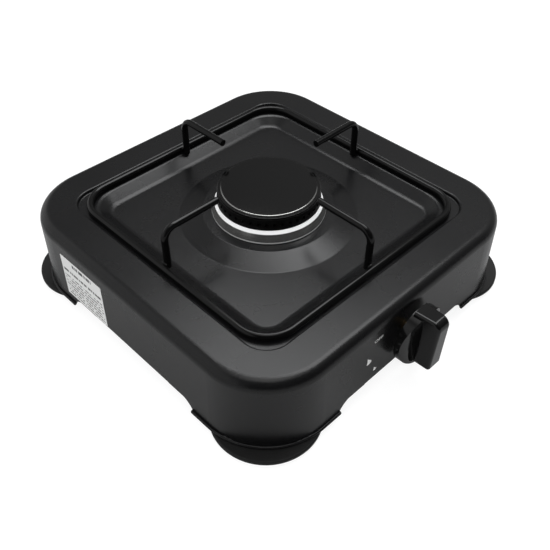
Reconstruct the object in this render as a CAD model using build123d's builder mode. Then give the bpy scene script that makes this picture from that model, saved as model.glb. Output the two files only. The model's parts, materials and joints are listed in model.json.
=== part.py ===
from build123d import *
import os
from math import atan2, cos, radians, sin, sqrt, tan

# One-burner tabletop gas stove, in millimetres. Z is up and the floor is at z = 0.
# The burner stands on the Z axis, and the knob is on the front, towards -Y.

os.makedirs("parts", exist_ok=True)

# ---------------------------------------------------------------- driving dimensions
# Fits
seat_gap = 0.1  # between pieces that are fastened or welded to each other
loose_gap = 0.3  # around pieces that only rest in place
running_gap = 0.08  # radial, around shafts that turn or slide
level_tolerance = 0.01  # when edges are picked by their height
reach_tolerance = 0.3  # when edges are picked by their distance from the middle

# Body shell, one pressing of enamelled sheet
body_width = 290.0  # across the straight lower edges of the skirt
skirt_height = 56.2  # from the straight lower edge to the flat rim
skirt_draft = 1.2  # degrees that the skirt leans inwards
corner_radius = 54.8
rim_round = 8.2
sheet = 1.0
straight_edge = 120.0  # length of the straight lower edge between two corner lobes
lobe_run = 13.0  # width of the round between the straight edge and a lobe
lobe_drop = 8.0  # how far the lobes hang below the straight edge
hem_radius = 1.3  # rolled hem along the lobes
hem_reach = 1.9  # how far the hem stands out from the skirt
rim_width = 32.4
lip_radius = 19.0
lip_round = 1.6
ledge_drop = 2.7
ledge_width = 9.3
ledge_radius = 27.0
ledge_round = 1.0
slope_width = 10.3
slope_round = 4.0  # from the ledge into the slope
well_depth = 9.6  # from the flat rim to the well's floor
well_radius = 13.0
well_round = 7.0  # from the slope into the well's floor
dome_foot_radius = 70.9
dome_top_radius = 53.4
dome_rise = 5.1
dome_round = 3.0

# Feet
foot_radius = 40.5
foot_base_radius = 30.0
foot_height = 8.6
foot_flange = 3.0  # thickness of the foot's widest part
foot_edge_round = 1.2
foot_inset = 36.5  # from the skirt's line to a foot's centre
foot_boss_radius = 14.0
foot_recess_radius = 9.0
foot_recess_depth = 5.0
gusset_thickness = 1.5
gusset_rise = 5.0  # from the lobe's edge to the gusset
gusset_reach = 20.0  # from the foot's centre to the gusset's fold, along the diagonal
gusset_fold = 6.0

# Small screws, all of one thread
screw_radius = 2.0
screw_clearance = 0.2
screw_head_radius = 3.6
screw_head_height = 2.4
screw_cross = 4.0  # length of each slot of the cross recess
screw_cross_width = 0.9
screw_cross_depth = 1.3
foot_screw_tip = 3.0  # how far a foot screw stands out above its gusset
foot_washer_radius = 6.0
foot_washer_thickness = 1.0

# Trivet
wire_diameter = 5.5
ring_side_gap = 2.65  # between the ring and the lip
ring_radius = 25.0
finger_rise = 30.45  # from the ring's wire to the finger's wire
finger_bend = 9.0
finger_tip_radius = 52.5  # from the burner's axis to a finger's cut end
post_drop = 2.6  # how far a post reaches below the ring's centre line

# Burner
cup_top_radius = 41.2
cup_shoulder_flare = 1.5  # from the cup's top to its shoulder
cup_foot_flare = 2.7  # from the shoulder to the foot
cup_rim_edge = 0.9
cup_shoulder_height = 6.1
cup_height = 9.7
cup_wall = 3.7  # at the cup's top
cup_floor = 4.0
neck_radius = 20.0
neck_reach = 2.0  # how far the cup's neck reaches into the mixing tube's flange
throat_radius = 9.0
burner_screw_count = 3
burner_screw_circle = 28.0  # radius
burner_screw_start = 90.0  # degrees from +X to the first screw
burner_screw_length = 9.5
burner_boss_radius = 5.0
crown_height = 9.2
crown_narrowing = 0.6  # from the crown's foot to its top
crown_spigot = 3.0
crown_spigot_wall = 2.0
port_count = 42
port_radius = 1.3
port_height = 4.6  # above the cup
cap_inset = 0.6  # from the crown's top edge to the cap's edge
cap_bevel = 1.5
cap_edge = 0.7
cap_thickness = 2.0
cap_rib_depth = 2.0
cap_rib_width = 2.5

# Mixing tube
tube_radius = 11.0
tube_wall = 2.0
tube_bend = 21.0
tube_length = 70.0  # from the burner's axis to the bell mouth
bell_length = 8.0
bell_flare = 25.0  # degrees
flange_radius = 34.0
flange_thickness = 3.0

# Knob and spindle
knob_rise = 23.5  # from the skirt's straight lower edge to the knob's axis
knob_radius = 23.3
knob_depth = 23.0
knob_base = 8.8  # thickness of the base in its middle
knob_rim = 4.6  # thickness of the base at its sides
knob_face_gap = 4.7  # between the skirt and the knob's back
grip_width = 15.4  # across the grip's back
grip_top_narrowing = 3.0  # from the grip's back to its front, at the top
grip_foot_narrowing = 1.0
grip_setback = 1.5  # from the base's back to the grip's back
grip_top_rise = 25.7  # from the knob's axis to the grip's top
grip_foot_drop = 21.2  # from the knob's axis to the grip's foot
grip_foot_setback = 1.4  # of the front edge at the foot, behind the one at the top
grip_top_round = 6.5
grip_foot_round = 2.5
grip_side_round = 2.2
groove_inset = 2.0  # from the grip's back edge to the middle of a finger groove
groove_radius = 6.5
groove_sweep = 42.0  # radius of the arc that each finger groove follows
groove_depth = 4.5  # below the base's front
knob_bore_depth = 16.0
spindle_radius = 3.5
spindle_flat = 2.1  # from the spindle's axis to its flat
spindle_end_gap = 0.4
panel_hole_radius = 6.0
clip_thickness = 0.6
clip_width = 4.0
clip_length = 12.0

# Valve
bracket_depth = 10.0  # from the skirt's inner face to the bracket's plate
bracket_thickness = 1.5
bracket_width = 46.0
bracket_height = 24.0
bracket_foot = 8.0
bracket_hole_radius = 4.5
cover_thickness = 3.0
ear_width = 40.0
ear_height = 20.0
ear_thickness = 6.0
ear_screw_spacing = 28.0
cover_screw_length = 12.0
seal_radius = 0.9
barrel_radius = 11.0
barrel_length = 30.0
outlet_radius = 7.0
outlet_length = 6.0
passage_radius = 2.0
collar_radius = 5.2
collar_thickness = 2.0
spring_room = 5.4  # from the collar to the plug
spring_coil_radius = 4.6
spring_wire_radius = 0.35
spring_turns = 3
plug_front_radius = 8.0
plug_back_radius = 6.5
plug_length = 16.0
plug_slot_depth = 7.5
tongue_length = 9.0
tongue_thickness = 3.0
tongue_width = 7.0
inlet_boss_radius = 6.0
inlet_boss_reach = 20.0  # from the valve's axis
injector_thread_radius = 3.0
injector_thread = 5.0
injector_hex = 10.0
injector_hex_length = 6.0
injector_nose_radius = 3.2
injector_nose = 9.0
injector_nose_taper = 6.0  # degrees
injector_bore_radius = 1.5
injector_orifice_radius = 0.4

# Gas pipe and hose nozzle
pipe_radius = 3.0
pipe_wall = 0.8
pipe_bend = 14.0
pipe_drop_bend = 40.0
pipe_run_end = -20.0  # y where the pipe starts to drop
pipe_drop_end = 40.0  # y where the drop ends
inlet_nut_flats = 16.0
outlet_nut_flats = 14.0
nut_length = 14.0
nut_cover = 7.0  # how much of a nut is over the thread that it grips
nozzle_inset = 85.0  # from the skirt's left side to the nozzle's axis
nozzle_rise = 12.0  # from the skirt's straight lower edge to the nozzle's axis
nozzle_reach = 27.3  # how far the nozzle stands out of the skirt
nozzle_thread_radius = 5.0
nozzle_inner_length = 24.0
nozzle_hex = 17.0
nozzle_hex_length = 6.0
nozzle_stem_radius = 6.0
barb_radius = 4.8
barb_waist_radius = 4.0
barb_count = 3
nozzle_bore_radius = 2.5
nozzle_washer_radius = 10.0
nozzle_washer_thickness = 1.5
locknut_length = 5.0

# Rating label
label_length = 53.0
label_height = 40.0
label_thickness = 0.2
label_rise = 21.0  # from the skirt's straight lower edge to the label's centre
label_inset = 91.5  # from the skirt's back to the label's centre

# ---------------------------------------------------------------- levels and places
lobe_z = foot_height + seat_gap + hem_radius
skirt_z = lobe_z + lobe_drop
rim_z = skirt_z + skirt_height
ledge_z = rim_z - ledge_drop
floor_z = rim_z - well_depth
dome_z = floor_z + dome_rise
gusset_z = lobe_z + gusset_rise

lip_half = body_width / 2 - rim_width
ledge_half = lip_half - ledge_width
well_half = ledge_half - slope_width
foot_centre = body_width / 2 - foot_inset
foot_reach = foot_centre * sqrt(2)  # from the Z axis to a foot's axis

wire_radius = wire_diameter / 2
ring_half = lip_half - ring_side_gap - wire_radius
ring_z = ledge_z + loose_gap + wire_radius
finger_z = ring_z + finger_rise
post_radius = ring_half - wire_diameter - seat_gap / 2

cup_shoulder_radius = cup_top_radius + cup_shoulder_flare
cup_foot_radius = cup_shoulder_radius + cup_foot_flare
cup_chamber_radius = cup_top_radius - cup_wall
crown_top_radius = cup_top_radius - crown_narrowing
crown_inner_radius = cup_chamber_radius - loose_gap - crown_spigot_wall
cap_radius = crown_top_radius - cap_inset
cap_rib_radius = crown_inner_radius - loose_gap

cup_z = dome_z + seat_gap
crown_z = cup_z + cup_height + loose_gap
cap_z = crown_z + crown_height + loose_gap
neck_z = dome_z - sheet - neck_reach
flange_z = dome_z - sheet - seat_gap

knob_z = skirt_z + knob_rise
nozzle_x = nozzle_inset - body_width / 2
nozzle_z = skirt_z + nozzle_rise
label_y = body_width / 2 - label_inset


def skirt_half(z):
    """Half of the skirt's outer width at height z."""
    return body_width / 2 - (z - skirt_z) * tan(radians(skirt_draft))


# Along the valve's axis, from the front of the knob to the injector (all negative y)
panel_y = -skirt_half(knob_z)
knob_back_y = panel_y - knob_face_gap
knob_front_y = knob_back_y - knob_depth
bore_end_y = knob_back_y - knob_bore_depth
bracket_y = panel_y + sheet + bracket_depth
cover_y = bracket_y + bracket_thickness + seat_gap
valve_y = cover_y + cover_thickness + seat_gap
collar_y = valve_y + loose_gap
plug_y = collar_y + collar_thickness + spring_room
barrel_end_y = valve_y + barrel_length
outlet_end_y = barrel_end_y + outlet_length
inlet_y = plug_y + plug_length - passage_radius - plug_slot_depth / 2

valve_axis = Plane.XZ.shift_origin((0, 0, knob_z))
nozzle_axis = Plane.XZ.shift_origin((nozzle_x, 0, nozzle_z))
corner_names = {45: "back_right", 135: "back_left", 225: "front_left", 315: "front_right"}
side_names = {0: "right", 90: "back", 180: "left", 270: "front"}


# ---------------------------------------------------------------- shared shapes
def across(plane, y):
    """A plane square to the Y axis at y, on the axis of one of the two planes above."""
    return plane.offset(-y)


def corner_plane(angle, z):
    """A level plane at z that is turned so that +X points at a corner of the body."""
    return Plane.XY.offset(z).rotated((0, 0, angle))


def foot_plane(angle, z):
    """A level plane at z on the axis of the foot at this angle."""
    return Plane((foot_reach * cos(radians(angle)), foot_reach * sin(radians(angle)), z))


def save(piece, name):
    """Label a finished piece and write it as its own STEP file."""
    piece.label = name
    export_step(piece, f"parts/{name}.step")


def cross_recess():
    """The two crossed slots of a screw's head, drawn at the current places of a sketch."""
    Rectangle(screw_cross, screw_cross_width)
    Rectangle(screw_cross_width, screw_cross)


def square_loop(half, radius, z):
    """The level outline of a rounded square, as a path to sweep along."""
    with BuildSketch(Plane.XY.offset(z)) as outline:
        RectangleRounded(2 * half, 2 * half, radius)
    return outline.sketch.wires()[0]


def loop_at(form, z, half):
    """Edges at height z that lie on a loop of this half width."""

    def reach(edge):
        box = edge.bounding_box()
        return max(-box.min.X, box.max.X, -box.min.Y, box.max.Y)

    level = form.edges().filter_by_position(Axis.Z, z - level_tolerance, z + level_tolerance)
    return level.filter_by(lambda edge: abs(reach(edge) - half) < reach_tolerance)


# ---------------------------------------------------------------- body shell
def pressed_form(inset):
    """The space under the sheet's outer surface, or under that surface moved in by inset."""
    slope_shift = inset * tan(atan2(well_depth - ledge_drop, slope_width) / 2)
    dome_shift = inset * tan(atan2(dome_rise, dome_foot_radius - dome_top_radius) / 2)
    foot_half = skirt_half(lobe_z) - inset
    lip = lip_half + inset
    slope_top = ledge_half + slope_shift
    slope_foot = well_half + slope_shift
    dome_foot = dome_foot_radius - dome_shift
    dome_top = dome_top_radius - dome_shift
    with BuildPart() as form:
        with BuildSketch(Plane.XY.offset(lobe_z)):
            RectangleRounded(2 * foot_half, 2 * foot_half, corner_radius - inset)
        extrude(amount=rim_z - inset - lobe_z, taper=skirt_draft)
        fillet(form.edges().group_by(Axis.Z)[-1], rim_round - inset)
        with BuildSketch(Plane.XY.offset(rim_z - inset)):
            RectangleRounded(2 * lip, 2 * lip, lip_radius + inset)
        extrude(amount=-ledge_drop, mode=Mode.SUBTRACT)
        with BuildSketch(Plane.XY.offset(ledge_z - inset)):
            RectangleRounded(2 * slope_top, 2 * slope_top, ledge_radius)
        with BuildSketch(Plane.XY.offset(floor_z - inset)):
            RectangleRounded(2 * slope_foot, 2 * slope_foot, well_radius)
        loft(ruled=True, mode=Mode.SUBTRACT)
        with Locations((0, 0, floor_z - inset)):
            Cone(dome_foot, dome_top, dome_rise, align=(Align.CENTER, Align.CENTER, Align.MIN))
        fillet(loop_at(form, rim_z - inset, lip), lip_round - inset)
        fillet(loop_at(form, ledge_z - inset, lip), ledge_round + inset)
        fillet(loop_at(form, ledge_z - inset, slope_top), slope_round - inset)
        fillet(loop_at(form, floor_z - inset, slope_foot), well_round + inset)
        fillet(loop_at(form, floor_z - inset, dome_foot), dome_round + inset)
        fillet(loop_at(form, dome_z - inset, dome_top), dome_round - inset)
    return form.part


outer_form = pressed_form(0)
inner_form = pressed_form(sheet)
hem_half = skirt_half(lobe_z) + hem_reach - hem_radius
lobe_half = straight_edge / 2 + lobe_run

hem_path = square_loop(hem_half, corner_radius + hem_reach - hem_radius, lobe_z)

with BuildPart() as body_shell:
    add(outer_form)
    add(inner_form, mode=Mode.SUBTRACT)
    # rolled hem round the whole lower edge, which the side cuts then leave on the lobes alone
    with BuildSketch(Plane(hem_path @ 0, z_dir=hem_path % 0)):
        Circle(hem_radius)
    sweep(path=hem_path)
    for side_plane in (Plane.XZ, Plane.YZ):
        with BuildSketch(side_plane):
            with BuildLine():
                bottom = Line((0, 0), (lobe_half, 0))
                flank = Line(bottom @ 1, (lobe_half, lobe_z))
                TangentArc((straight_edge / 2, skirt_z), flank @ 1, tangent=(1, 0))
                Line((straight_edge / 2, skirt_z), (0, skirt_z))
                mirror(about=Plane.YZ)
            make_face()
        extrude(amount=body_width, both=True, mode=Mode.SUBTRACT)
    # burner hole and its screw holes
    with BuildSketch(Plane.XY.offset(rim_z)):
        Circle(neck_radius + seat_gap)
        with PolarLocations(burner_screw_circle, burner_screw_count, start_angle=burner_screw_start):
            Circle(screw_radius + screw_clearance)
    extrude(amount=-skirt_height, mode=Mode.SUBTRACT)
    # spindle hole in front, nozzle hole behind
    with BuildSketch(across(valve_axis, 0)):
        Circle(panel_hole_radius)
    extrude(amount=body_width, mode=Mode.SUBTRACT)
    with BuildSketch(across(nozzle_axis, 0)):
        Circle(nozzle_stem_radius + loose_gap)
    extrude(amount=-body_width, mode=Mode.SUBTRACT)
save(body_shell.part, "body_shell")


# ---------------------------------------------------------------- gussets and feet
def make_gusset(angle):
    """Corner plate that is welded inside the skirt, with a fold that stiffens it."""
    top_z = gusset_z + gusset_thickness
    inner_half = skirt_half(top_z) - sheet - seat_gap
    fold_x = foot_reach - gusset_reach
    corner = inner_half * sqrt(2)
    with BuildPart() as gusset:
        with BuildSketch(corner_plane(angle, gusset_z)):
            RectangleRounded(2 * inner_half, 2 * inner_half, corner_radius - sheet - seat_gap, rotation=45)
            with Locations((fold_x, 0)):
                Rectangle(corner, 2 * corner, align=(Align.MIN, Align.CENTER), mode=Mode.INTERSECT)
            with Locations((foot_reach, 0)):
                Circle(screw_radius + screw_clearance, mode=Mode.SUBTRACT)
        extrude(amount=gusset_thickness)
        with BuildSketch(corner_plane(angle, top_z)):
            with Locations((fold_x, 0)):
                Rectangle(
                    gusset_thickness,
                    2 * (corner - fold_x - gusset_fold - gusset_thickness),
                    align=(Align.MIN, Align.CENTER),
                )
        extrude(amount=gusset_fold)
    return gusset.part


def make_foot(angle):
    """Round tapered foot with a boss up to the gusset and a recess for its screw."""
    with BuildPart() as foot:
        with BuildSketch(foot_plane(angle, 0)):
            Circle(foot_base_radius)
        with BuildSketch(foot_plane(angle, foot_height - foot_flange)):
            Circle(foot_radius)
        loft()
        with BuildSketch(foot_plane(angle, foot_height - foot_flange)):
            Circle(foot_radius)
        extrude(amount=foot_flange)
        fillet(foot.edges().group_by(Axis.Z)[-1], foot_edge_round)
        with BuildSketch(foot_plane(angle, foot_height - foot_flange)):
            Circle(foot_boss_radius)
        extrude(amount=gusset_z - seat_gap - foot_height + foot_flange)
        with BuildSketch(foot_plane(angle, 0)):
            Circle(foot_recess_radius)
        extrude(amount=foot_recess_depth, mode=Mode.SUBTRACT)
        with BuildSketch(foot_plane(angle, 0)):
            Circle(screw_radius + screw_clearance)
        extrude(amount=gusset_z, mode=Mode.SUBTRACT)
    return foot.part


for corner_angle, corner_name in corner_names.items():
    save(make_gusset(corner_angle), f"gusset_{corner_name}")
    save(make_foot(corner_angle), f"foot_{corner_name}")

washer_z = foot_recess_depth - seat_gap - foot_washer_thickness
head_z = washer_z - seat_gap - screw_head_height
with BuildPart() as foot_washers:
    with BuildSketch(Plane.XY.offset(washer_z)):
        with GridLocations(2 * foot_centre, 2 * foot_centre, 2, 2):
            Circle(foot_washer_radius)
            Circle(screw_radius + screw_clearance, mode=Mode.SUBTRACT)
    extrude(amount=foot_washer_thickness)
save(foot_washers.part, "foot_washers")

with BuildPart() as foot_screws:
    with BuildSketch(Plane.XY.offset(head_z)):
        with GridLocations(2 * foot_centre, 2 * foot_centre, 2, 2):
            Circle(screw_head_radius)
    extrude(amount=screw_head_height)
    with BuildSketch(Plane.XY.offset(head_z)):
        with GridLocations(2 * foot_centre, 2 * foot_centre, 2, 2):
            Circle(screw_radius)
    extrude(amount=gusset_z + gusset_thickness + foot_screw_tip - head_z)
    with BuildSketch(Plane.XY.offset(head_z)):
        with GridLocations(2 * foot_centre, 2 * foot_centre, 2, 2):
            cross_recess()
    extrude(amount=screw_cross_depth, mode=Mode.SUBTRACT)
save(foot_screws.part, "foot_screws")

# ---------------------------------------------------------------- trivet
ring_path = square_loop(ring_half, ring_radius, ring_z)
with BuildPart() as trivet_ring:
    with BuildSketch(Plane(ring_path @ 0, z_dir=ring_path % 0)):
        Circle(wire_radius)
    sweep(path=ring_path)
save(trivet_ring.part, "trivet_ring")


def make_finger(angle):
    """Bent wire: a post welded inside the ring, and a level arm towards the burner."""
    outwards = (cos(radians(angle)), sin(radians(angle)), 0)
    sideways = (sin(radians(angle)), -cos(radians(angle)), 0)
    upright = Plane((0, 0, 0), x_dir=outwards, z_dir=sideways)
    foot = (post_radius, ring_z - post_drop)
    with BuildPart() as finger:
        with BuildLine(upright) as path:
            FilletPolyline(foot, (post_radius, finger_z), (finger_tip_radius, finger_z), radius=finger_bend)
        with BuildSketch(Plane(path.line @ 0, x_dir=outwards, z_dir=(0, 0, 1))):
            Circle(wire_radius)
        sweep(path=path.line)
    return finger.part


for side_angle, side_name in side_names.items():
    save(make_finger(side_angle), f"trivet_finger_{side_name}")

# ---------------------------------------------------------------- burner
chamber_z = cup_z + cup_floor
cup_top_z = cup_z + cup_height
with BuildPart() as burner_cup:
    with BuildSketch(Plane.XZ):
        with BuildLine():
            Polyline(
                (throat_radius, neck_z),
                (neck_radius, neck_z),
                (neck_radius, cup_z),
                (cup_foot_radius, cup_z),
                (cup_foot_radius, cup_z + cup_rim_edge),
                (cup_shoulder_radius, cup_z + cup_shoulder_height),
                (cup_top_radius, cup_top_z),
                (cup_chamber_radius, cup_top_z),
                (cup_chamber_radius, chamber_z),
                (throat_radius, chamber_z),
                close=True,
            )
        make_face()
    revolve(axis=Axis.Z)
    with BuildSketch(Plane.XY.offset(cup_z)):
        with PolarLocations(burner_screw_circle, burner_screw_count, start_angle=burner_screw_start):
            Circle(burner_boss_radius)
    extrude(amount=cup_height - crown_spigot - seat_gap)
    with BuildSketch(Plane.XY.offset(cup_z)):
        with PolarLocations(burner_screw_circle, burner_screw_count, start_angle=burner_screw_start):
            Circle(screw_radius + running_gap)
    extrude(amount=cup_height - crown_spigot - sheet, mode=Mode.SUBTRACT)
save(burner_cup.part, "burner_cup")

spigot_radius = cup_chamber_radius - loose_gap
crown_wall = cup_top_radius - crown_inner_radius
with BuildPart() as burner_crown:
    with BuildSketch(Plane.XZ):
        with BuildLine():
            Polyline(
                (crown_inner_radius, crown_z - crown_spigot),
                (spigot_radius, crown_z - crown_spigot),
                (spigot_radius, crown_z),
                (cup_top_radius, crown_z),
                (crown_top_radius, crown_z + crown_height),
                (crown_inner_radius, crown_z + crown_height),
                close=True,
            )
        make_face()
    revolve(axis=Axis.Z)
    with Locations((0, 0, crown_z + port_height)):
        with PolarLocations(cup_top_radius - crown_wall / 2, port_count):
            Cylinder(port_radius, 2 * crown_wall, rotation=(0, 90, 0), mode=Mode.SUBTRACT)
save(burner_crown.part, "burner_crown")

with BuildPart() as burner_cap:
    with BuildSketch(Plane.XZ):
        with BuildLine():
            Polyline(
                (0, cap_z),
                (cap_rib_radius - cap_rib_width, cap_z),
                (cap_rib_radius - cap_rib_width, cap_z - cap_rib_depth),
                (cap_rib_radius, cap_z - cap_rib_depth),
                (cap_rib_radius, cap_z),
                (cap_radius, cap_z),
                (cap_radius, cap_z + cap_edge),
                (cap_radius - cap_bevel, cap_z + cap_thickness),
                (0, cap_z + cap_thickness),
                close=True,
            )
        make_face()
    revolve(axis=Axis.Z)
save(burner_cap.part, "burner_cap")

with BuildPart() as mixing_tube:
    with BuildLine(Plane.YZ) as tube_path:
        FilletPolyline(
            (0, flange_z - flange_thickness),
            (0, knob_z),
            (-tube_length, knob_z),
            radius=tube_bend,
        )
    with BuildSketch(Plane.XY.offset(flange_z - flange_thickness)):
        Circle(tube_radius)
    sweep(path=tube_path.line)
    with BuildSketch(across(valve_axis, -tube_length)):
        Circle(tube_radius)
    extrude(amount=bell_length, taper=-bell_flare)
    with BuildSketch(Plane.XY.offset(flange_z - flange_thickness)):
        Circle(flange_radius)
    extrude(amount=flange_thickness)
    with BuildSketch(Plane.XY.offset(flange_z - flange_thickness)):
        Circle(tube_radius - tube_wall)
    sweep(path=tube_path.line, mode=Mode.SUBTRACT)
    with BuildSketch(across(valve_axis, -tube_length)):
        Circle(tube_radius - tube_wall)
    extrude(amount=bell_length, taper=-bell_flare, mode=Mode.SUBTRACT)
    with BuildSketch(Plane.XY.offset(flange_z - flange_thickness)):
        Circle(throat_radius)
        with PolarLocations(burner_screw_circle, burner_screw_count, start_angle=burner_screw_start):
            Circle(screw_radius + screw_clearance)
    extrude(amount=flange_thickness, mode=Mode.SUBTRACT)
    with BuildSketch(Plane.XY.offset(neck_z - seat_gap)):
        Circle(neck_radius + seat_gap)
    extrude(amount=flange_thickness, mode=Mode.SUBTRACT)
save(mixing_tube.part, "mixing_tube")

burner_head_z = flange_z - flange_thickness - seat_gap
with BuildPart() as burner_screws:
    with BuildSketch(Plane.XY.offset(burner_head_z)):
        with PolarLocations(burner_screw_circle, burner_screw_count, start_angle=burner_screw_start):
            Circle(screw_head_radius)
    extrude(amount=-screw_head_height)
    with BuildSketch(Plane.XY.offset(burner_head_z)):
        with PolarLocations(burner_screw_circle, burner_screw_count, start_angle=burner_screw_start):
            Circle(screw_radius)
    extrude(amount=burner_screw_length)
    with BuildSketch(Plane.XY.offset(burner_head_z - screw_head_height)):
        with PolarLocations(burner_screw_circle, burner_screw_count, start_angle=burner_screw_start):
            cross_recess()
    extrude(amount=screw_cross_depth, mode=Mode.SUBTRACT)
save(burner_screws.part, "burner_screws")

# ---------------------------------------------------------------- knob and spindle
rim_y = knob_back_y - knob_rim
base_y = knob_back_y - knob_base
groove_x = grip_width / 2 + groove_inset
groove_y = base_y + groove_depth - groove_radius - groove_sweep
grip_top_z = knob_z + grip_top_rise
grip_foot_z = knob_z - grip_foot_drop
grip_back_y = knob_back_y - grip_setback
with BuildPart() as knob:
    # round base with an arched front and a finger groove on each side of the grip
    with BuildSketch(across(valve_axis, knob_back_y)):
        Circle(knob_radius)
    extrude(amount=knob_base)
    with BuildSketch(Plane.XY.offset(knob_z - knob_radius)):
        with BuildLine():
            arch = ThreePointArc((-knob_radius, rim_y), (0, base_y), (knob_radius, rim_y))
            Polyline(arch @ 1, (knob_radius, knob_back_y), (-knob_radius, knob_back_y), arch @ 0)
        make_face()
    extrude(amount=2 * knob_radius, mode=Mode.INTERSECT)
    for side in (-1, 1):
        with Locations((side * groove_x, groove_y, knob_z)):
            Torus(groove_sweep, groove_radius, rotation=(0, 90, 0), mode=Mode.SUBTRACT)
    # the grip narrows towards its front, and more so at its top
    for z, front_y, narrowing in (
        (grip_foot_z, knob_front_y + grip_foot_setback, grip_foot_narrowing),
        (grip_top_z, knob_front_y, grip_top_narrowing),
    ):
        with BuildSketch(Plane.XY.offset(z)):
            with BuildLine():
                Polyline(
                    (-grip_width / 2, grip_back_y),
                    (grip_width / 2, grip_back_y),
                    ((grip_width - narrowing) / 2, front_y),
                    ((narrowing - grip_width) / 2, front_y),
                    close=True,
                )
            make_face()
    loft(ruled=True)
    for z, rounding in ((grip_top_z, grip_top_round), (grip_foot_z, grip_foot_round)):
        level_edges = knob.edges().filter_by_position(Axis.Z, z - level_tolerance, z + level_tolerance)
        fillet(level_edges.sort_by(Axis.Y)[0], rounding)
    front_edges = knob.faces().sort_by(Axis.Y)[0].edges().sort_by(Axis.X)
    fillet([front_edges[0], front_edges[-1]], grip_side_round)
    with BuildSketch(across(valve_axis, knob_back_y)):
        Circle(spindle_radius + running_gap)
        with Locations((spindle_flat + clip_thickness + seat_gap, 0)):
            Rectangle(knob_radius, knob_radius, align=(Align.MIN, Align.CENTER), mode=Mode.SUBTRACT)
    extrude(amount=knob_bore_depth, mode=Mode.SUBTRACT)
save(knob.part, "knob")

spindle_end_y = bore_end_y + spindle_end_gap
with BuildPart() as valve_spindle:
    with BuildSketch(across(valve_axis, collar_y)):
        Circle(spindle_radius)
    extrude(amount=collar_y - spindle_end_y)
    with BuildSketch(across(valve_axis, spindle_end_y)):
        with Locations((spindle_flat, 0)):
            Rectangle(knob_radius, knob_radius, align=(Align.MIN, Align.CENTER))
    extrude(amount=spindle_end_y - knob_back_y, mode=Mode.SUBTRACT)
    with BuildSketch(across(valve_axis, collar_y)):
        Circle(collar_radius)
    extrude(amount=-collar_thickness)
    with BuildSketch(across(valve_axis, collar_y + collar_thickness)):
        Rectangle(tongue_thickness, tongue_width)
    extrude(amount=-tongue_length)
save(valve_spindle.part, "valve_spindle")

with BuildPart() as knob_clip:
    with BuildSketch(across(valve_axis, knob_back_y)):
        with Locations((spindle_flat + seat_gap / 2, 0)):
            Rectangle(clip_thickness, clip_width, align=(Align.MIN, Align.CENTER))
    extrude(amount=clip_length)
save(knob_clip.part, "knob_clip")

# ---------------------------------------------------------------- valve
foot_y = seat_gap + sheet - skirt_half(knob_z + bracket_height / 2)
with BuildPart() as valve_bracket:
    with BuildSketch(across(valve_axis, bracket_y)):
        Rectangle(bracket_width, bracket_height)
        Circle(bracket_hole_radius, mode=Mode.SUBTRACT)
        with GridLocations(ear_screw_spacing, 0, 2, 1):
            Circle(screw_radius + screw_clearance, mode=Mode.SUBTRACT)
    extrude(amount=-bracket_thickness)
    with BuildSketch(across(valve_axis, foot_y)):
        with GridLocations(bracket_width - bracket_thickness, 0, 2, 1):
            Rectangle(bracket_thickness, bracket_height)
    extrude(amount=foot_y - bracket_y - bracket_thickness)
    with BuildSketch(across(valve_axis, foot_y)):
        with GridLocations(bracket_width + bracket_foot, 0, 2, 1):
            Rectangle(bracket_foot, bracket_height)
    extrude(amount=-bracket_thickness)
save(valve_bracket.part, "valve_bracket")

with BuildPart() as valve_cover:
    with BuildSketch(across(valve_axis, cover_y)):
        SlotOverall(ear_width, ear_height)
        Circle(spindle_radius + running_gap, mode=Mode.SUBTRACT)
        with GridLocations(ear_screw_spacing, 0, 2, 1):
            Circle(screw_radius + screw_clearance, mode=Mode.SUBTRACT)
    extrude(amount=-cover_thickness)
    with BuildSketch(across(valve_axis, cover_y)):
        Circle(spindle_radius + 2 * seal_radius + 3 * seat_gap)
    extrude(amount=-2 * seal_radius - seat_gap, mode=Mode.SUBTRACT)
save(valve_cover.part, "valve_cover")

with BuildPart() as spindle_seal:
    with BuildSketch(Plane.XY.offset(knob_z)):
        with Locations((spindle_radius + seat_gap + seal_radius, cover_y + seal_radius)):
            Circle(seal_radius)
    revolve(axis=Axis((0, 0, knob_z), (0, 1, 0)))
save(spindle_seal.part, "spindle_seal")

with BuildPart() as cover_screws:
    with BuildSketch(across(valve_axis, bracket_y - seat_gap)):
        with GridLocations(ear_screw_spacing, 0, 2, 1):
            Circle(screw_head_radius)
    extrude(amount=screw_head_height)
    with BuildSketch(across(valve_axis, bracket_y - seat_gap)):
        with GridLocations(ear_screw_spacing, 0, 2, 1):
            Circle(screw_radius)
    extrude(amount=-cover_screw_length)
    with BuildSketch(across(valve_axis, bracket_y - seat_gap - screw_head_height)):
        with GridLocations(ear_screw_spacing, 0, 2, 1):
            cross_recess()
    extrude(amount=-screw_cross_depth, mode=Mode.SUBTRACT)
save(cover_screws.part, "cover_screws")

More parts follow.
